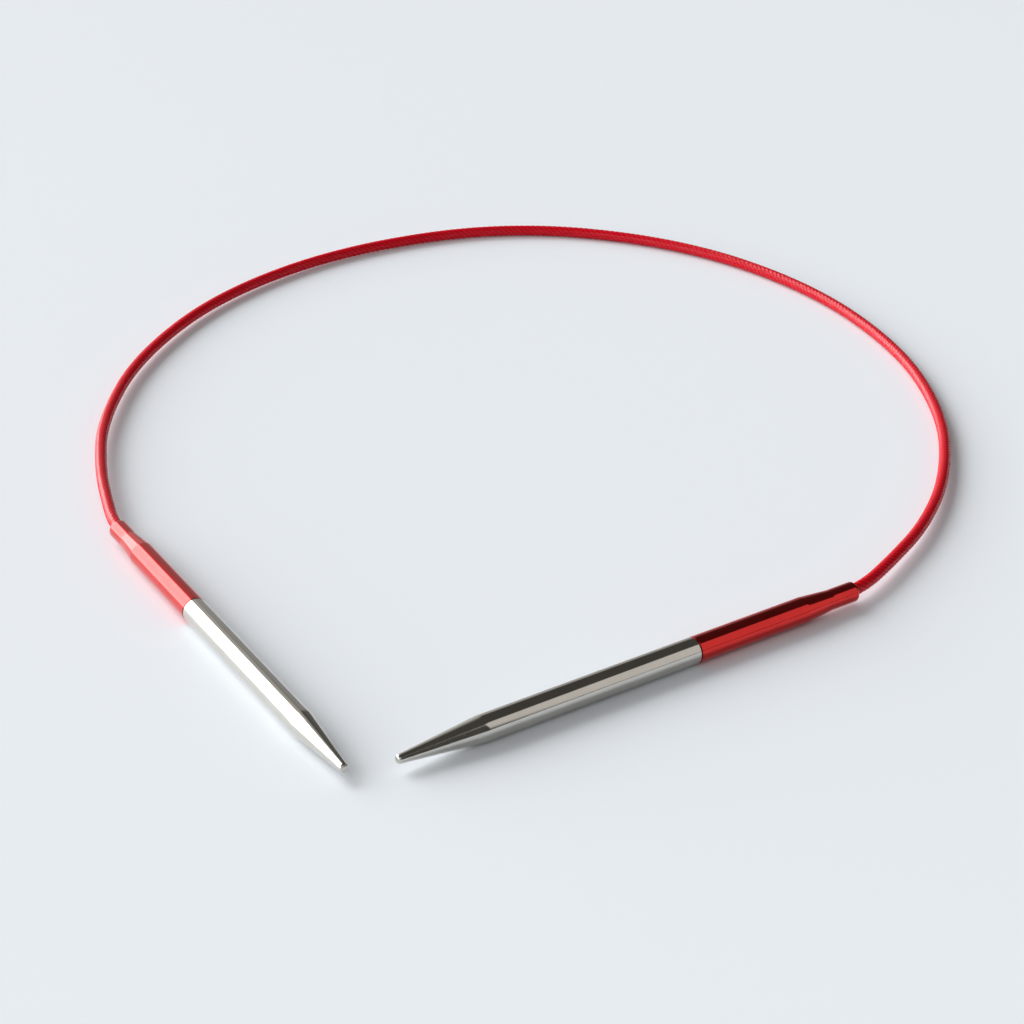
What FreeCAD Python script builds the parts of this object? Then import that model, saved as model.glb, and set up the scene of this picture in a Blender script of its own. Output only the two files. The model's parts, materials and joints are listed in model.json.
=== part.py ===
import FreeCAD, Part
import math
import os

# A fixed circular knitting needle: two hollow metal needles joined by one flexible cable.
# Each needle turns freely on the ferrule at its end of the cable, so the cable never winds up.
#
# Frame: +Z up, the needles lie on z = 0, +Y runs from the tips towards the back of the cable's loop,
# and the origin is at the middle of the two needles' footprint. All lengths are in millimetres.
# Along a needle, every "station" is a distance from the end of its nose, measured on its axis.

os.makedirs("parts", exist_ok=True)
Vec = FreeCAD.Vector

# Needle outline
NEEDLE_DIAMETER = 4.0
NEEDLE_LENGTH = 82.0
NOSE_DIAMETER = 1.3
NOSE_ROUND = 0.45
TAPER_END = 14.0          # where the pointed part reaches full diameter
TAPER_SOFTENING = 6.0     # radius that softens the shoulder
JOINT_STATION = 51.6      # steel point in front, anodised shank behind
JOINT_CHAMFER = 0.12
NECK_START = 72.0
NECK_END = 77.2
NECK_DIAMETER = 3.1
NECK_SOFTENING = 3.0
MOUTH_ROUND = 0.45

# Inside the needle
BORE_DIAMETER = 3.0
POINT_BORE_END = 5.0      # the swaged point is solid ahead of this
POINT_BORE_TIP_DIAMETER = 0.7
NECK_BORE_DIAMETER = 2.3
MOUTH_BORE_DIAMETER = 2.1
MOUTH_LIP_LENGTH = 1.0
BORE_LEAD_IN = 0.15

# Swivel: a turned ferrule on the cable's end, held between the spigot and the neck's shoulder
RUNNING_CLEARANCE = 0.05  # radial
SWIVEL_END_PLAY = 0.3
FERRULE_HEAD_LENGTH = 4.0
FERRULE_END_STATION = 79.0
FERRULE_SOCKET_DEPTH = 10.0
FERRULE_CHAMFER = 0.2

# Spigot that joins the steel point to the shank
SPIGOT_START = 44.0
SPIGOT_CHAMFER = 0.3

# Cable
CABLE_DIAMETER = 1.9
CORE_DIAMETER = 1.2
KINK_STANDOFF = 1.5       # from the mouth to the route's first free turn

# How the two needles lie
HALF_ANGLE_DEG = 40.5     # each needle's heading, either side of +Y
AXIS_HEIGHT = NEEDLE_DIAMETER / 2
TIPS = {"left": Vec(-3.1, -33.4, AXIS_HEIGHT), "right": Vec(3.1, -29.5, AXIS_HEIGHT)}
SIDE_SIGN = {"left": -1, "right": 1}

# The cable's route between the two kinks, from the left needle round the back to the right one
LOOP_POINTS = [
    Vec(-60.9, 37.2, 1.95),
    Vec(-66.1, 48.7, 1.9),
    Vec(-71.9, 66.4, 1.75),
    Vec(-74.7, 92.8, 1.5),
    Vec(-69.4, 123.1, 1.25),
    Vec(-53.1, 149.6, 1.05),
    Vec(-26.6, 167.2, 1.0),
    Vec(5.3, 165.7, 1.0),
    Vec(32.4, 149.6, 1.0),
    Vec(51.8, 124.9, 1.0),
    Vec(62.0, 98.7, 1.2),
    Vec(65.0, 75.9, 1.4),
    Vec(63.9, 57.6, 1.7),
    Vec(60.3, 43.2, 1.95),
]
ARC_SHARE = 0.45          # share of the shorter run that each arc takes

# The cable flexes about an upright line through the back of the loop, where its halves meet
CUP_RADIUS = 1.4          # hollow end of the left half, round the right half's ball end


def heading(side):
    """Unit vector from a needle's tip towards its cable end."""
    angle = math.radians(HALF_ANGLE_DEG)
    return Vec(SIDE_SIGN[side] * math.sin(angle), math.cos(angle), 0)


def on_axis(side, station):
    """The point on a needle's axis at a station."""
    return TIPS[side] + heading(side) * station


def tangent_arc(before, corner, after, radius):
    """Start, middle and end of the arc that rounds a corner."""
    towards_before = (before - corner).normalize()
    towards_after = (after - corner).normalize()
    half_opening = towards_before.getAngle(towards_after) / 2
    bisector = (towards_before + towards_after).normalize()
    reach = radius / math.tan(half_opening)
    centre = corner + bisector * (radius / math.sin(half_opening))
    return corner + towards_before * reach, centre - bisector * radius, corner + towards_after * reach


def outline_edges(corners):
    """Edges of a closed outline. A corner is (station, radius) or (station, radius, rounding)."""
    points = [Vec(corner[0], corner[1], 0) for corner in corners]
    rounds = [corner[2] if len(corner) > 2 else 0 for corner in corners]
    edges = []
    starts, ends = [], []
    for i, point in enumerate(points):
        if rounds[i]:
            start, middle, end = tangent_arc(points[i - 1], point, points[(i + 1) % len(points)], rounds[i])
            edges.append(Part.Arc(start, middle, end).toShape())
        else:
            start = end = point
        starts.append(start)
        ends.append(end)
    for i, end in enumerate(ends):
        edges.append(Part.LineSegment(end, starts[(i + 1) % len(points)]).toShape())
    return edges


def turned(corners, side):
    """A turned piece: the outline spun about the needle's axis and laid in its place."""
    wire = Part.Wire(Part.__sortEdges__(outline_edges(corners)))
    solid = Part.Face(wire).revolve(Vec(0, 0, 0), Vec(1, 0, 0), 360)
    turn = FreeCAD.Rotation(Vec(1, 0, 0), heading(side))
    solid.Placement = FreeCAD.Placement(TIPS[side], turn)
    return solid


def needle_point(side):
    """Steel tube swaged to a closed point."""
    full, bore = NEEDLE_DIAMETER / 2, BORE_DIAMETER / 2
    return turned([
        (0, 0),
        (0, NOSE_DIAMETER / 2, NOSE_ROUND),
        (TAPER_END, full, TAPER_SOFTENING),
        (JOINT_STATION - JOINT_CHAMFER, full),
        (JOINT_STATION, full - JOINT_CHAMFER),
        (JOINT_STATION, bore + BORE_LEAD_IN),
        (JOINT_STATION - BORE_LEAD_IN, bore),
        (TAPER_END, bore),
        (POINT_BORE_END, POINT_BORE_TIP_DIAMETER / 2),
        (POINT_BORE_END, 0),
    ], side)


def shank(side):
    """Anodised tube, turned down to a neck with a rounded mouth."""
    full, neck = NEEDLE_DIAMETER / 2, NECK_DIAMETER / 2
    bore, neck_bore, mouth = BORE_DIAMETER / 2, NECK_BORE_DIAMETER / 2, MOUTH_BORE_DIAMETER / 2
    lip_start = NEEDLE_LENGTH - MOUTH_LIP_LENGTH
    return turned([
        (JOINT_STATION, bore + BORE_LEAD_IN),
        (JOINT_STATION, full - JOINT_CHAMFER),
        (JOINT_STATION + JOINT_CHAMFER, full),
        (NECK_START, full, NECK_SOFTENING),
        (NECK_END, neck, NECK_SOFTENING),
        (NEEDLE_LENGTH, neck, MOUTH_ROUND),
        (NEEDLE_LENGTH, mouth),
        (lip_start, mouth),
        (lip_start, neck_bore),
        (NECK_START, neck_bore),
        (NECK_START, bore),
        (JOINT_STATION + BORE_LEAD_IN, bore),
    ], side)


def ferrule_front():
    """Station of the ferrule's front face."""
    return NECK_START - SWIVEL_END_PLAY - FERRULE_HEAD_LENGTH


def joining_spigot(side):
    """Rod pressed into both tubes. Its back face also stops the ferrule from moving forward."""
    radius = BORE_DIAMETER / 2
    back = ferrule_front() - SWIVEL_END_PLAY
    return turned([
        (SPIGOT_START, 0),
        (SPIGOT_START, radius - SPIGOT_CHAMFER),
        (SPIGOT_START + SPIGOT_CHAMFER, radius),
        (back - SPIGOT_CHAMFER, radius),
        (back, radius - SPIGOT_CHAMFER),
        (back, 0),
    ], side)


def swivel_ferrule(side):
    """Headed sleeve swaged on the bare core. It turns in the shank's bore and neck."""
    head = BORE_DIAMETER / 2 - RUNNING_CLEARANCE
    stem = NECK_BORE_DIAMETER / 2 - RUNNING_CLEARANCE
    front, shoulder = ferrule_front(), NECK_START - SWIVEL_END_PLAY
    socket = CORE_DIAMETER / 2
    socket_floor = FERRULE_END_STATION - FERRULE_SOCKET_DEPTH
    return turned([
        (front, 0),
        (front, head - FERRULE_CHAMFER),
        (front + FERRULE_CHAMFER, head),
        (shoulder, head),
        (shoulder, stem),
        (FERRULE_END_STATION - FERRULE_CHAMFER, stem),
        (FERRULE_END_STATION, stem - FERRULE_CHAMFER),
        (FERRULE_END_STATION, socket),
        (socket_floor, socket),
        (socket_floor, 0),
    ], side)


def cable_route():
    """All the route's points, from inside the left neck to inside the right one."""
    ends = {side: [on_axis(side, FERRULE_END_STATION), on_axis(side, NEEDLE_LENGTH + KINK_STANDOFF)]
            for side in TIPS}
    return ends["left"] + LOOP_POINTS + ends["right"][::-1]


def route_arcs(route):
    """The arc at each turn of the route, as large as its two runs allow."""
    arcs = []
    for before, corner, after in zip(route, route[1:], route[2:]):
        run_in, run_out = corner - before, after - corner
        half_turn = run_in.getAngle(run_out) / 2
        radius = ARC_SHARE * min(run_in.Length, run_out.Length) / math.tan(half_turn)
        print("turn %5.1f deg, radius %6.1f mm" % (math.degrees(2 * half_turn), radius))
        arcs.append(tangent_arc(before, corner, after, radius))
    return arcs


def half_path(end, arcs, flex_point):
    """Path of one half of the cable, from its ferrule to the flex point."""
    edges = []
    here = end
    for start, middle, finish in arcs:
        edges.append(Part.LineSegment(here, start).toShape())
        edges.append(Part.Arc(start, middle, finish).toShape())
        here = finish
    edges.append(Part.LineSegment(here, flex_point).toShape())
    return Part.Wire(edges)


def tube(path, diameter):
    """A round solid of one diameter along a path."""
    start = path.Vertexes[0].Point
    first = path.Edges[0]
    section = Part.Wire(Part.makeCircle(diameter / 2, start, first.tangentAt(first.FirstParameter)))
    solid = path.makePipeShell([section], True, False)
    share = solid.Volume / (math.pi * diameter ** 2 / 4 * path.Length)
    print("tube of %.1f mm: length %.1f mm, volume %.4f of section x length" % (diameter, path.Length, share))
    return solid


def cable_half(side, path, flex_point, flex_direction):
    """Jacket and core of one half of the cable. The halves meet as a ball in a cup."""
    full, inner = tube(path, CABLE_DIAMETER), tube(path, CORE_DIAMETER)
    jacket = full.cut(inner)
    tail = Part.makeCylinder(CORE_DIAMETER / 2, FERRULE_SOCKET_DEPTH,
                             on_axis(side, FERRULE_END_STATION), heading(side) * -1)
    core = inner.fuse(tail).removeSplitter()
    if side == "left":
        cup = Part.makeSphere(CUP_RADIUS, flex_point)
        return jacket.cut(cup), core.cut(cup)
    half_ball = Part.makeSphere(CABLE_DIAMETER / 2, flex_point, flex_direction, 0, 90, 360)
    return jacket, core.fuse(half_ball).removeSplitter()


def single_solid(shape, name):
    """The one solid in a boolean's result, which must be whole."""
    assert shape.isValid() and len(shape.Solids) == 1, name
    return shape.Solids[0]


def build():
    """Every sub-part by its name."""
    pieces = {}
    for side in TIPS:
        pieces["needle_point_" + side] = needle_point(side)
        pieces["shank_" + side] = shank(side)
        pieces["joining_spigot_" + side] = joining_spigot(side)
        pieces["swivel_ferrule_" + side] = swivel_ferrule(side)

    route = cable_route()
    arcs = route_arcs(route)
    middle = len(route) // 2
    flex_point = (route[middle - 1] + route[middle]) * 0.5
    towards_left = (route[middle - 1] - route[middle]).normalize()
    print("flex point", flex_point, "direction", towards_left)
    halves = {
        "left": half_path(route[0], arcs[:middle - 1], flex_point),
        "right": half_path(route[-1], [arc[::-1] for arc in arcs[:middle - 2:-1]], flex_point),
    }
    for side, path in halves.items():
        jacket, core = cable_half(side, path, flex_point, towards_left)
        pieces["cable_jacket_" + side] = jacket
        pieces["cable_core_" + side] = core
    return pieces


for name, shape in build().items():
    solid = single_solid(shape, name)
    solid.exportStep("parts/" + name + ".step")
    print("%-22s %8.2f mm3" % (name, solid.Volume))
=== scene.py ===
import json
import math

import bmesh
import bpy
from mathutils import Matrix, Vector


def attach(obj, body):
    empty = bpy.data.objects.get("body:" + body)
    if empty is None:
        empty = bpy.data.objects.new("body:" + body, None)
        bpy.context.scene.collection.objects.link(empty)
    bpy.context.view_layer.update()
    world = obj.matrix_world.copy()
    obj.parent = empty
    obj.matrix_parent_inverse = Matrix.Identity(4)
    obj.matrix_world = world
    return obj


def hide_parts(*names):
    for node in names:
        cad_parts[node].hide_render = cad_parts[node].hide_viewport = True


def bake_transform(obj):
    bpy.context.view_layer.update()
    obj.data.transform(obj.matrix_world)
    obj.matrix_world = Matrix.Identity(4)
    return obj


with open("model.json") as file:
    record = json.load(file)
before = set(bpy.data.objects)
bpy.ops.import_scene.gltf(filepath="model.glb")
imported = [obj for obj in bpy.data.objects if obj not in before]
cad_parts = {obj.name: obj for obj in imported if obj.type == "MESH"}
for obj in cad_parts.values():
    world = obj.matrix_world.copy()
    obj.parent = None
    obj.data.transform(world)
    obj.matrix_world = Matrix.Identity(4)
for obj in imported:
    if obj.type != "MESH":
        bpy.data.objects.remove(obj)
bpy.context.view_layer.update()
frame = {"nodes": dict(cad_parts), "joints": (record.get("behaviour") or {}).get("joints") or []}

# A circular knitting needle: polished steel points on red anodised shanks, joined by a red coated cable.
# Everything is in metres: the needles lie on z = 0 and +Y runs from their tips towards the back of the
# cable's loop. A station is a distance from a needle's nose along its axis.

MM = 0.001
SIDES = ("left", "right")


# ------------------------------------------------------------------------------------------ camera

CAMERA_PLACE = Vector((110.52, -420.19, 238.68)) * MM
CAMERA_AZIMUTH = math.radians(13.149)
CAMERA_PITCH = math.radians(26.226)
CAMERA_ROLL = math.radians(-0.284)
FOCAL_LENGTH = 121.9
SENSOR_WIDTH = 36.0


def make_camera():
    """The camera, looking down at the needle from in front, with a slight roll."""
    data = bpy.data.cameras.new("camera")
    data.lens = FOCAL_LENGTH
    data.sensor_width = SENSOR_WIDTH
    data.clip_start = 10 * MM
    camera = bpy.data.objects.new("camera", data)
    bpy.context.scene.collection.objects.link(camera)
    heading = Matrix.Rotation(CAMERA_AZIMUTH, 4, "Z")
    tilt = Matrix.Rotation(math.pi / 2 - CAMERA_PITCH, 4, "X")
    roll = Matrix.Rotation(CAMERA_ROLL, 4, "Z")
    camera.matrix_world = Matrix.Translation(CAMERA_PLACE) @ heading @ tilt @ roll
    bpy.context.scene.camera = camera


make_camera()


# ------------------------------------------------------------------------------------------ sizes

NEEDLE_LENGTH = 82.0 * MM
FULL_RADIUS = 2.0 * MM
NOSE_RADIUS = 0.65 * MM
NOSE_ROUND = 0.45 * MM
TAPER_END = 14.0 * MM
TAPER_SOFTENING = 6.0 * MM
JOINT_STATION = 51.6 * MM
JOINT_CHAMFER = 0.12 * MM
NECK_START = 72.0 * MM
NECK_END = 77.2 * MM
NECK_RADIUS = 1.55 * MM
NECK_SOFTENING = 3.0 * MM
MOUTH_ROUND = 0.45 * MM
BORE_RADIUS = 1.5 * MM
POINT_BORE_END = 5.0 * MM
POINT_BORE_TIP_RADIUS = 0.35 * MM
NECK_BORE_RADIUS = 1.15 * MM
MOUTH_BORE_RADIUS = 1.05 * MM
MOUTH_LIP_LENGTH = 1.0 * MM
BORE_LEAD_IN = 0.15 * MM
FERRULE_END = 79.0 * MM
TURNED_SEGMENTS = 96
ROUND_SEGMENTS = 6
SHADING_MARGIN = 0.15 * MM
LONGEST_FACET = 3.0 * MM
SHARPEST_SMOOTH_ANGLE = math.radians(32)
MERGE_DISTANCE = 0.0005 * MM
ON_AXIS = 1e-9

CABLE_RADIUS = 0.95 * MM
KINK_STANDOFF = 1.5 * MM
GROOVE_DEPTH = 0.04 * MM
STRAND_COUNT = 6
STRAND_RADIUS = 0.19 * MM
STRAND_CIRCLE = 0.39 * MM
LAY_LENGTH = 6.0 * MM
JACKET_SPACING = 0.25 * MM
JACKET_COLUMNS = 36
STRAND_SPACING = 0.5 * MM

FLOOR_SIZE = 12.0


def swivel(side):
    """The swivel joint of one needle, which stands at its neck's mouth and points along its axis."""
    return next(joint for joint in frame["joints"] if joint["name"] == side + "_swivel")


HEADING = {side: Vector(swivel(side)["axis"]) for side in SIDES}
MOUTH = {side: Vector(swivel(side)["pos_m"]) for side in SIDES}
TIP = {side: MOUTH[side] - HEADING[side] * NEEDLE_LENGTH for side in SIDES}


def on_axis(side, station):
    """The point on a needle's axis at a station."""
    return TIP[side] + HEADING[side] * station


def add_object(name, data):
    """A new object at the origin."""
    piece = bpy.data.objects.new(name, data)
    bpy.context.scene.collection.objects.link(piece)
    return piece


# ------------------------------------------------------------------------------------------ cable line

LOOP_POINTS = [Vector(point) * MM for point in (
    (-60.9, 37.2, 1.95),
    (-66.1, 48.7, 1.9),
    (-71.9, 66.4, 1.75),
    (-74.7, 92.8, 1.5),
    (-69.4, 123.1, 1.25),
    (-53.1, 149.6, 1.05),
    (-26.6, 167.2, 1.0),
    (5.3, 165.7, 1.0),
    (32.4, 149.6, 1.0),
    (51.8, 124.9, 1.0),
    (62.0, 98.7, 1.2),
    (65.0, 75.9, 1.4),
    (63.9, 57.6, 1.7),
    (60.3, 43.2, 1.95),
)]
LINE_RESOLUTION = 48


def cable_route():
    """The cable's points, from inside the left neck round the loop to inside the right neck."""
    kink = NEEDLE_LENGTH + KINK_STANDOFF
    ends = {side: [on_axis(side, FERRULE_END), on_axis(side, kink)] for side in SIDES}
    return ends["left"] + LOOP_POINTS + ends["right"][::-1]


def curve_mesh(curve, name):
    """The mesh that a curve makes."""
    holder = add_object(name, curve)
    shapes = bpy.context.evaluated_depsgraph_get()
    mesh = bpy.data.meshes.new_from_object(holder.evaluated_get(shapes))
    mesh.name = name
    bpy.data.objects.remove(holder)
    return mesh


def smooth_line(route):
    """Close points along the smooth NURBS line whose control points are the route's."""
    curve = bpy.data.curves.new("cable_line", "CURVE")
    curve.dimensions = "3D"
    curve.resolution_u = LINE_RESOLUTION
    spline = curve.splines.new("NURBS")
    spline.points.add(len(route) - 1)
    for control, point in zip(spline.points, route):
        control.co = (*point, 1)
    spline.order_u = 3
    spline.use_endpoint_u = True
    return [vertex.co.copy() for vertex in curve_mesh(curve, "cable_line").vertices]


def evenly_spaced(line, spacing):
    """Points at one spacing along a line, and that spacing, evened out so that both ends are kept."""
    walked = [0.0]
    for here, there in zip(line, line[1:]):
        walked.append(walked[-1] + (there - here).length)
    count = round(walked[-1] / spacing)
    step = walked[-1] / count
    points = []
    i = 0
    for k in range(count):
        while walked[i + 1] <= k * step:
            i += 1
        share = (k * step - walked[i]) / (walked[i + 1] - walked[i])
        points.append(line[i].lerp(line[i + 1], share))
    return points + [line[-1].copy()], step


def frames_along(points):
    """A frame at each point, with Z forward and X to a side that never spins about the line."""
    frames = []
    side = Vector((0, 0, 1))
    for i, point in enumerate(points):
        forward = (points[min(i + 1, len(points) - 1)] - points[max(i - 1, 0)]).normalized()
        side = (side - forward * side.dot(forward)).normalized()
        axes = Matrix((side, forward.cross(side), forward)).transposed().to_4x4()
        frames.append(Matrix.Translation(point) @ axes)
    return frames


CABLE_LINE = smooth_line(cable_route())


# ------------------------------------------------------------------------------------------ materials

def new_material(name):
    """A material, its node tree and its shader."""
    material = bpy.data.materials.new(name)
    material.use_nodes = True
    tree = material.node_tree
    return material, tree, tree.nodes["Principled BSDF"]


def add_node(tree, kind, inputs=None, **settings):
    """A node with its settings and its inputs' values or links."""
    node = tree.nodes.new("ShaderNode" + kind)
    for name, value in settings.items():
        setattr(node, name, value)
    for name, value in (inputs or {}).items():
        if isinstance(value, bpy.types.NodeSocket):
            tree.links.new(value, node.inputs[name])
        else:
            node.inputs[name].default_value = value
    return node


def set_shader(tree, shader, **sockets):
    """Sets the shader's sockets, by their names with _ for spaces, to values or links."""
    for name, value in sockets.items():
        socket = shader.inputs[name.replace("_", " ")]
        if isinstance(value, bpy.types.NodeSocket):
            tree.links.new(value, socket)
        else:
            socket.default_value = value


def ramp(tree, factor, stops):
    """A colour ramp. Each stop is (position, colour)."""
    node = add_node(tree, "ValToRGB", {"Fac": factor})
    elements = node.color_ramp.elements
    for element, (position, colour) in zip(elements, (stops[0], stops[-1])):
        element.position = position
        element.color = (*colour, 1)
    for position, colour in stops[1:-1]:
        elements.new(position).color = (*colour, 1)
    return node.outputs["Color"]


def blended_colour(tree, share, first, second):
    """One colour, passing into a plain second one by a share from 0 to 1."""
    node = add_node(tree, "Mix", {"Factor": share}, data_type="RGBA")
    colours = [socket for socket in node.inputs if socket.type == "RGBA"]
    tree.links.new(first, colours[0])
    colours[1].default_value = (*second, 1)
    return next(socket for socket in node.outputs if socket.type == "RGBA")


def grey(value):
    """A grey colour."""
    return (value, value, value)


def polished_steel():
    """Nickel-bright steel: drawn lines along the shaft, ground rings round the taper."""
    material, tree, shader = new_material("polished_steel")
    place = add_node(tree, "Attribute", attribute_name="turning").outputs["Vector"]
    station = add_node(tree, "SeparateXYZ", {"Vector": place}).outputs["X"]
    on_taper = add_node(tree, "MapRange", {
        "Value": station, "From Min": TAPER_END + 0.4 * MM, "From Max": TAPER_END - 0.6 * MM,
        "To Min": 0.0, "To Max": 1.0}).outputs["Result"]

    along = add_node(tree, "Mapping", {"Vector": place, "Scale": (40, 4000, 4000)}).outputs["Vector"]
    drawn = add_node(tree, "TexNoise", {"Vector": along, "Scale": 1.0, "Detail": 3.0}).outputs["Fac"]
    around = add_node(tree, "Mapping", {"Vector": place, "Scale": (5200, 260, 260)}).outputs["Vector"]
    ground = add_node(tree, "TexNoise", {"Vector": around, "Scale": 1.0, "Detail": 4.0}).outputs["Fac"]
    lines = add_node(tree, "Mix", {"Factor": on_taper, "A": drawn, "B": ground}).outputs["Result"]
    strength = add_node(tree, "MapRange", {
        "Value": on_taper, "To Min": 0.025, "To Max": 0.22}).outputs["Result"]
    bump = add_node(tree, "Bump", {"Height": lines, "Strength": strength, "Distance": 0.02 * MM})

    smudge = add_node(tree, "TexNoise", {"Vector": place, "Scale": 260.0, "Detail": 2.0}).outputs["Fac"]
    base = ramp(tree, smudge, [(0.3, (0.58, 0.56, 0.52)), (0.7, (0.62, 0.60, 0.56))])
    roughness = add_node(tree, "MapRange", {
        "Value": smudge, "From Min": 0.3, "From Max": 0.7, "To Min": 0.07, "To Max": 0.10}).outputs["Result"]
    rough = add_node(tree, "Mix", {"Factor": on_taper, "A": roughness, "B": 0.14}).outputs["Result"]
    set_shader(tree, shader, Base_Color=base, Metallic=1.0, Roughness=rough, Normal=bump.outputs["Normal"])
    return material


def red_anodised_aluminium():
    """Turned aluminium under a deep red anodised layer, nearly black and without its coat on the chamfer
    that meets the steel.
    """
    material, tree, shader = new_material("red_anodised_aluminium")
    place = add_node(tree, "Attribute", attribute_name="turning").outputs["Vector"]
    around = add_node(tree, "Mapping", {"Vector": place, "Scale": (3200, 120, 120)}).outputs["Vector"]
    turning = add_node(tree, "TexNoise", {"Vector": around, "Scale": 1.0, "Detail": 3.0}).outputs["Fac"]
    bump = add_node(tree, "Bump", {"Height": turning, "Strength": 0.05, "Distance": 0.02 * MM})
    depth = add_node(tree, "TexNoise", {"Vector": place, "Scale": 420.0, "Detail": 2.0}).outputs["Fac"]
    dyed = ramp(tree, depth, [(0.3, (0.66, 0.026, 0.024)), (0.7, (0.73, 0.032, 0.030))])
    station = add_node(tree, "SeparateXYZ", {"Vector": place}).outputs["X"]
    at_edge = add_node(tree, "MapRange", {
        "Value": station, "From Min": JOINT_STATION + 1.3 * JOINT_CHAMFER,
        "From Max": JOINT_STATION + 0.9 * JOINT_CHAMFER}).outputs["Result"]
    base = blended_colour(tree, at_edge, dyed, (0.06, 0.004, 0.006))
    coat = add_node(tree, "MapRange", {"Value": at_edge, "To Min": 0.35, "To Max": 0.0}).outputs["Result"]
    roughness = add_node(tree, "MapRange", {
        "Value": depth, "From Min": 0.3, "From Max": 0.7, "To Min": 0.09, "To Max": 0.13}).outputs["Result"]
    set_shader(tree, shader, Base_Color=base, Metallic=1.0, Roughness=roughness, Coat_Weight=coat,
               Coat_Roughness=0.06, Coat_IOR=1.4, Normal=bump.outputs["Normal"])
    return material


def red_nylon():
    """Red translucent coating, with painted shade darkening it over the grooves between the strands that it
    follows.
    """
    material, tree, shader = new_material("red_nylon")
    groove_shade = add_node(tree, "Attribute", attribute_name="groove_shade").outputs["Fac"]
    place = add_node(tree, "TexCoord").outputs["Object"]
    cloud = add_node(tree, "TexNoise", {"Vector": place, "Scale": 900.0, "Detail": 3.0}).outputs["Fac"]
    # Random tone from the cloud, plus painted shade that darkens the red over the grooves between the
    # strands.
    tone_and_groove_shade = add_node(tree, "Math", {0: cloud, 1: 0.3, 2: groove_shade}, operation="MULTIPLY_ADD").outputs["Value"]
    base = ramp(tree, tone_and_groove_shade, [
        (0.10, (0.64, 0.006, 0.022)), (0.6, (0.57, 0.004, 0.016)), (1.0, (0.45, 0.002, 0.011))])
    bump = add_node(tree, "Bump", {"Height": cloud, "Strength": 0.05, "Distance": 0.05 * MM})
    set_shader(tree, shader, Base_Color=base, Roughness=0.22, IOR=1.45, Specular_IOR_Level=0.21,
               Subsurface_Weight=1.0, Subsurface_Scale=1.4 * MM, Subsurface_Radius=(1.0, 0.06, 0.06),
               Normal=bump.outputs["Normal"])
    return material


def plain_metal(name, low, high, roughness, scale=600.0):
    """A bare metal for the pieces inside, mottled between two tones."""
    material, tree, shader = new_material(name)
    place = add_node(tree, "TexCoord").outputs["Object"]
    cloud = add_node(tree, "TexNoise", {"Vector": place, "Scale": scale, "Detail": 4.0}).outputs["Fac"]
    base = ramp(tree, cloud, [(0.35, low), (0.65, high)])
    bump = add_node(tree, "Bump", {"Height": cloud, "Strength": 0.1, "Distance": 0.02 * MM})
    set_shader(tree, shader, Base_Color=base, Metallic=1.0, Roughness=roughness,
               Normal=bump.outputs["Normal"])
    return material


# ------------------------------------------------------------------------------------------ needles

def turned(name, corners, side, material):
    """A piece turned about its needle's axis. It remembers where on the turned blank each point was."""
    shape = outline_wire(corners)
    bmesh.ops.spin(shape, geom=shape.verts[:] + shape.edges[:], cent=(0, 0, 0), axis=(1, 0, 0),
                   angle=2 * math.pi, steps=TURNED_SEGMENTS, use_merge=True)
    bmesh.ops.remove_doubles(shape, verts=shape.verts[:], dist=MERGE_DISTANCE)
    bmesh.ops.recalc_face_normals(shape, faces=shape.faces[:])
    for face in shape.faces:
        face.smooth = True
    turning = shape.verts.layers.float_vector.new("turning")
    for vert in shape.verts:
        vert[turning] = vert.co
    turn = Vector((1, 0, 0)).rotation_difference(HEADING[side]).to_matrix().to_4x4()
    bmesh.ops.transform(shape, matrix=Matrix.Translation(TIP[side]) @ turn, verts=shape.verts[:])
    mesh = bpy.data.meshes.new(name)
    shape.to_mesh(mesh)
    shape.free()
    mesh.set_sharp_from_angle(angle=SHARPEST_SMOOTH_ANGLE)
    mesh.materials.append(material)
    return add_object(name, mesh)


def rounded_corner(before, corner, after, radius):
    """Points of the arc that rounds a corner of an outline."""
    to_before, to_after = (before - corner).normalized(), (after - corner).normalized()
    half = to_before.angle(to_after) / 2
    centre = corner + (to_before + to_after).normalized() * (radius / math.sin(half))
    start = corner + to_before * (radius / math.tan(half)) - centre
    finish = corner + to_after * (radius / math.tan(half)) - centre
    return [centre + start.slerp(finish, k / ROUND_SEGMENTS) * radius for k in range(ROUND_SEGMENTS + 1)]


def outline_wire(corners):
    """A wire through the corners, with its rounds, and short facets beside every corner."""
    points = [Vector((corner[0], corner[1], 0)) for corner in corners]
    rounds = []
    for i, corner in enumerate(corners):
        if len(corner) > 2:
            rounds.append(rounded_corner(points[i - 1], points[i], points[(i + 1) % len(points)], corner[2]))
        else:
            rounds.append([points[i]])
    shape = bmesh.new()
    verts = []
    for arc, next_arc in zip(rounds, rounds[1:] + rounds[:1]):
        verts += [shape.verts.new(point) for point in arc]
        start = arc[-1]
        end = next_arc[0]
        run = (end - start).length
        if (start.y < ON_AXIS and end.y < ON_AXIS) or run < 3 * SHADING_MARGIN:
            continue
        inner = run - 2 * SHADING_MARGIN
        count = max(1, math.ceil(inner / LONGEST_FACET))
        for k in range(count + 1):
            verts.append(shape.verts.new(start.lerp(end, (SHADING_MARGIN + inner * k / count) / run)))
    for here, there in zip(verts, verts[1:] + verts[:1]):
        if here.co.y > ON_AXIS or there.co.y > ON_AXIS:
            shape.edges.new((here, there))
    return shape


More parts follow.
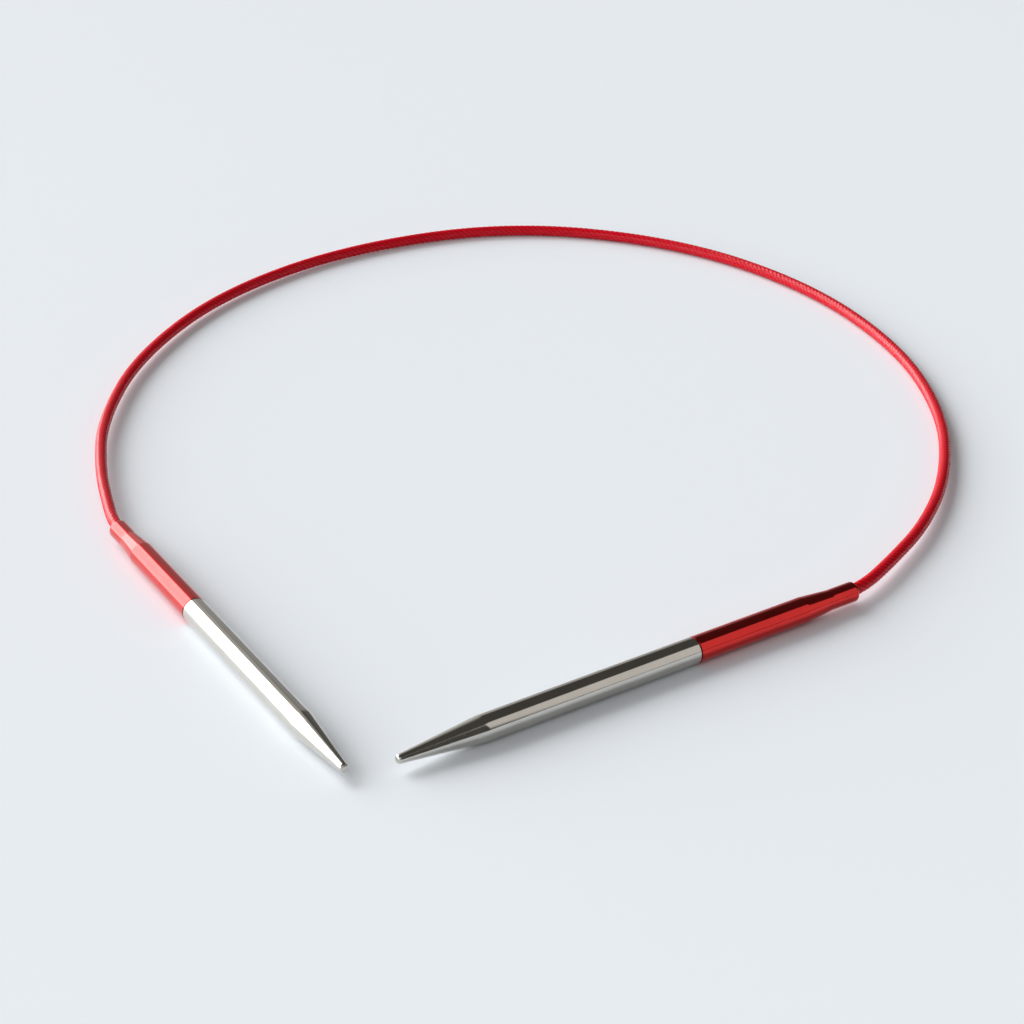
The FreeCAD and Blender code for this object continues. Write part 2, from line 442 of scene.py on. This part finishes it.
def make_needle_point(side, material):
    """Steel tube, closed to a blunt point."""
    piece = turned("steel_point_" + side, [
        (0, 0),
        (0, NOSE_RADIUS, NOSE_ROUND),
        (TAPER_END, FULL_RADIUS, TAPER_SOFTENING),
        (JOINT_STATION - JOINT_CHAMFER, FULL_RADIUS),
        (JOINT_STATION, FULL_RADIUS - JOINT_CHAMFER),
        (JOINT_STATION, BORE_RADIUS + BORE_LEAD_IN),
        (JOINT_STATION - BORE_LEAD_IN, BORE_RADIUS),
        (TAPER_END, BORE_RADIUS),
        (POINT_BORE_END, POINT_BORE_TIP_RADIUS),
        (POINT_BORE_END, 0),
    ], side, material)
    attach(piece, "needle_" + side)
    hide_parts("needle_point_" + side)


def make_shank(side, material):
    """Anodised tube with a neck and a rounded mouth."""
    piece = turned("red_shank_" + side, [
        (JOINT_STATION, BORE_RADIUS + BORE_LEAD_IN),
        (JOINT_STATION, FULL_RADIUS - JOINT_CHAMFER),
        (JOINT_STATION + JOINT_CHAMFER, FULL_RADIUS),
        (NECK_START, FULL_RADIUS, NECK_SOFTENING),
        (NECK_END, NECK_RADIUS, NECK_SOFTENING),
        (NEEDLE_LENGTH, NECK_RADIUS, MOUTH_ROUND),
        (NEEDLE_LENGTH, MOUTH_BORE_RADIUS),
        (NEEDLE_LENGTH - MOUTH_LIP_LENGTH, MOUTH_BORE_RADIUS),
        (NEEDLE_LENGTH - MOUTH_LIP_LENGTH, NECK_BORE_RADIUS),
        (NECK_START, NECK_BORE_RADIUS),
        (NECK_START, BORE_RADIUS),
        (JOINT_STATION + BORE_LEAD_IN, BORE_RADIUS),
    ], side, material)
    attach(piece, "needle_" + side)
    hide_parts("shank_" + side)


# ------------------------------------------------------------------------------------------ cable

def groove_at(column):
    """How deep in a groove a column of the jacket lies, from 0 on a strand to 1 between two."""
    return 0.5 - 0.5 * math.cos(2 * math.pi * STRAND_COUNT * column / JACKET_COLUMNS)


def jacket_section():
    """The coating's section: a circle with a shallow groove between neighbouring strands."""
    curve = bpy.data.curves.new("jacket_section", "CURVE")
    spline = curve.splines.new("POLY")
    spline.points.add(JACKET_COLUMNS - 1)
    for k, point in enumerate(spline.points):
        angle = 2 * math.pi * k / JACKET_COLUMNS
        radius = CABLE_RADIUS - GROOVE_DEPTH * groove_at(k)
        point.co = (radius * math.cos(angle), radius * math.sin(angle), 0, 1)
    spline.use_cyclic_u = True
    return add_object("jacket_section", curve)


def make_jacket(material):
    """The red coating, carried along the line with the strands' twist, and the points that it follows."""
    section = jacket_section()
    points, step = evenly_spaced(CABLE_LINE, JACKET_SPACING)
    curve = bpy.data.curves.new("cable_jacket", "CURVE")
    curve.dimensions = "3D"
    curve.bevel_mode = "OBJECT"
    curve.bevel_object = section
    curve.use_fill_caps = True
    spline = curve.splines.new("POLY")
    spline.points.add(len(points) - 1)
    for i, (control, point) in enumerate(zip(spline.points, points)):
        control.co = (*point, 1)
        control.tilt = 2 * math.pi * i * step / LAY_LENGTH
    mesh = curve_mesh(curve, "cable_jacket")
    bpy.data.objects.remove(section)
    # Each point's depth in a groove, which the red nylon uses to paint shade into the grooves.
    groove_shade = mesh.attributes.new("groove_shade", "FLOAT", "POINT")
    groove_shade.data.foreach_set("value", [groove_at(k % JACKET_COLUMNS) for k in range(len(mesh.vertices))])
    mesh.shade_smooth()
    mesh.materials.append(material)
    return add_object("cable_jacket", mesh), points


def make_strands(material):
    """Six strands of wire laid round a straight one."""
    points, step = evenly_spaced(CABLE_LINE, STRAND_SPACING)
    frames = frames_along(points)
    curve = bpy.data.curves.new("cable_strands", "CURVE")
    curve.dimensions = "3D"
    curve.bevel_depth = STRAND_RADIUS
    curve.bevel_resolution = 2
    curve.use_fill_caps = True
    for strand in range(STRAND_COUNT + 1):
        spline = curve.splines.new("POLY")
        spline.points.add(len(frames) - 1)
        reach = STRAND_CIRCLE if strand < STRAND_COUNT else 0
        for i, (control, place) in enumerate(zip(spline.points, frames)):
            angle = 2 * math.pi * (i * step / LAY_LENGTH + strand / STRAND_COUNT)
            control.co = (*(place @ Vector((reach * math.cos(angle), reach * math.sin(angle), 0))), 1)
    mesh = curve_mesh(curve, "cable_strands")
    mesh.shade_smooth()
    mesh.materials.append(material)
    return add_object("cable_strands", mesh)


def make_cable():
    """The coated strand, built whole along the loop in place of the part's two halves."""
    jacket, line = make_jacket(red_nylon())
    strands = make_strands(plain_metal("steel_strand", grey(0.42), grey(0.62), 0.3))
    for side in SIDES:
        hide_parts("cable_jacket_" + side)
        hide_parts("cable_core_" + side)
    for piece in (jacket, strands):
        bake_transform(piece)


# ------------------------------------------------------------------------------------------ studio

def make_floor():
    """A wide pale table top with a faint sheen."""
    shape = bmesh.new()
    bmesh.ops.create_grid(shape, x_segments=1, y_segments=1, size=FLOOR_SIZE / 2)
    mesh = bpy.data.meshes.new("table_top")
    shape.to_mesh(mesh)
    shape.free()
    material, tree, shader = new_material("table_top")
    place = add_node(tree, "TexCoord").outputs["Object"]
    cloud = add_node(tree, "TexNoise", {"Vector": place, "Scale": 3.0, "Detail": 2.0}).outputs["Fac"]
    base = ramp(tree, cloud, [(0.3, (0.835, 0.880, 0.930)), (0.7, (0.845, 0.890, 0.940))])
    set_shader(tree, shader, Base_Color=base, Roughness=0.5, Specular_IOR_Level=0.1)
    mesh.materials.append(material)
    add_object("table_top", mesh)


# Patches of the studio that the metal reflects. Each has its centre's azimuth from the camera's heading and
# its elevation, its half widths and its edge's softness, all in degrees, then its strength and colour.
STUDIO_BASE = (0.070, 0.066, 0.060)
PATCHES = [
    (-52, 25, 22, 22, 7, 5.6, (1.0, 1.0, 1.0)),         # window
    (-108, 20, 30, 18, 9, 2.6, (1.0, 1.0, 1.0)),        # side window
    (-14, 4, 18, 14, 14, 0.30, (1.0, 1.0, 1.0)),        # foot of the back wall
    (-28, 38, 14, 22, 18, 0.45, (1.0, 0.99, 0.96)),     # glow on the back wall
    (98, 26, 13, 22, 2.5, 0.66, (1.0, 0.97, 0.93)),     # right wall
    (180, 35, 40, 28, 10, 0.45, (1.0, 1.0, 1.0)),       # wall behind the camera
]
BACKDROP = (0.80, 0.83, 0.86)


def make_world():
    """The studio round the object: windows on the left, dim walls and a dark ceiling."""
    world = bpy.data.worlds.new("studio")
    bpy.context.scene.world = world
    world.use_nodes = True
    tree = world.node_tree
    for node in list(tree.nodes):
        tree.nodes.remove(node)
    direction = add_node(tree, "TexCoord").outputs["Generated"]
    turned_round = add_node(tree, "VectorRotate", {"Vector": direction, "Angle": -CAMERA_AZIMUTH},
                            rotation_type="Z_AXIS").outputs["Vector"]
    split = add_node(tree, "SeparateXYZ", {"Vector": turned_round})
    azimuth = add_node(tree, "Math", {0: split.outputs["X"], 1: split.outputs["Y"]},
                       operation="ARCTAN2").outputs["Value"]
    elevation = add_node(tree, "Math", {0: split.outputs["Z"]}, operation="ARCSINE").outputs["Value"]

    def gate(value, centre, half, softness, wraps):
        """1 within half of centre, falling to 0 over the softness outside it. All in degrees."""
        offset = add_node(tree, "Math", {0: value, 1: math.radians(centre)}, operation="SUBTRACT")
        if wraps:
            offset = add_node(tree, "Math", {0: offset.outputs["Value"], 1: math.pi, 2: -math.pi},
                              operation="WRAP")
        away = add_node(tree, "Math", {0: offset.outputs["Value"]}, operation="ABSOLUTE")
        return add_node(tree, "MapRange", {
            "Value": away.outputs["Value"], "From Min": math.radians(half),
            "From Max": math.radians(half + softness), "To Min": 1.0, "To Max": 0.0},
            interpolation_type="SMOOTHSTEP").outputs["Result"]

    total = add_node(tree, "CombineXYZ", dict(zip("XYZ", STUDIO_BASE))).outputs["Vector"]
    for az, el, half_az, half_el, softness, strength, colour in PATCHES:
        inside = add_node(tree, "Math", {
            0: gate(azimuth, az, half_az, softness, True), 1: gate(elevation, el, half_el, softness, False)},
            operation="MULTIPLY").outputs["Value"]
        light = add_node(tree, "VectorMath", {0: tuple(strength * c for c in colour), "Scale": inside},
                         operation="SCALE").outputs["Vector"]
        total = add_node(tree, "VectorMath", {0: total, 1: light}, operation="ADD").outputs["Vector"]
    studio = add_node(tree, "Background", {"Color": total, "Strength": 1.0})
    backdrop = add_node(tree, "Background", {"Color": (*BACKDROP, 1), "Strength": 1.0})
    seen = add_node(tree, "LightPath").outputs["Is Camera Ray"]
    mixed = add_node(tree, "MixShader", {
        0: seen, 1: studio.outputs["Background"], 2: backdrop.outputs["Background"]})
    add_node(tree, "OutputWorld", {"Surface": mixed.outputs["Shader"]})


def main():
    """Builds every piece, then the studio."""
    make_cable()
    steel, red = polished_steel(), red_anodised_aluminium()
    aluminium = plain_metal("plain_aluminium", grey(0.66), grey(0.78), 0.35)
    brass = plain_metal("turned_brass", (0.62, 0.45, 0.18), (0.80, 0.62, 0.30), 0.28)
    for side in SIDES:
        make_needle_point(side, steel)
        make_shank(side, red)
        for node, material in (("joining_spigot_", aluminium), ("swivel_ferrule_", brass)):
            materials = frame["nodes"][node + side].data.materials
            materials.clear()
            materials.append(material)
    make_floor()
    make_world()
    bpy.context.scene.view_settings.view_transform = "Standard"


main()
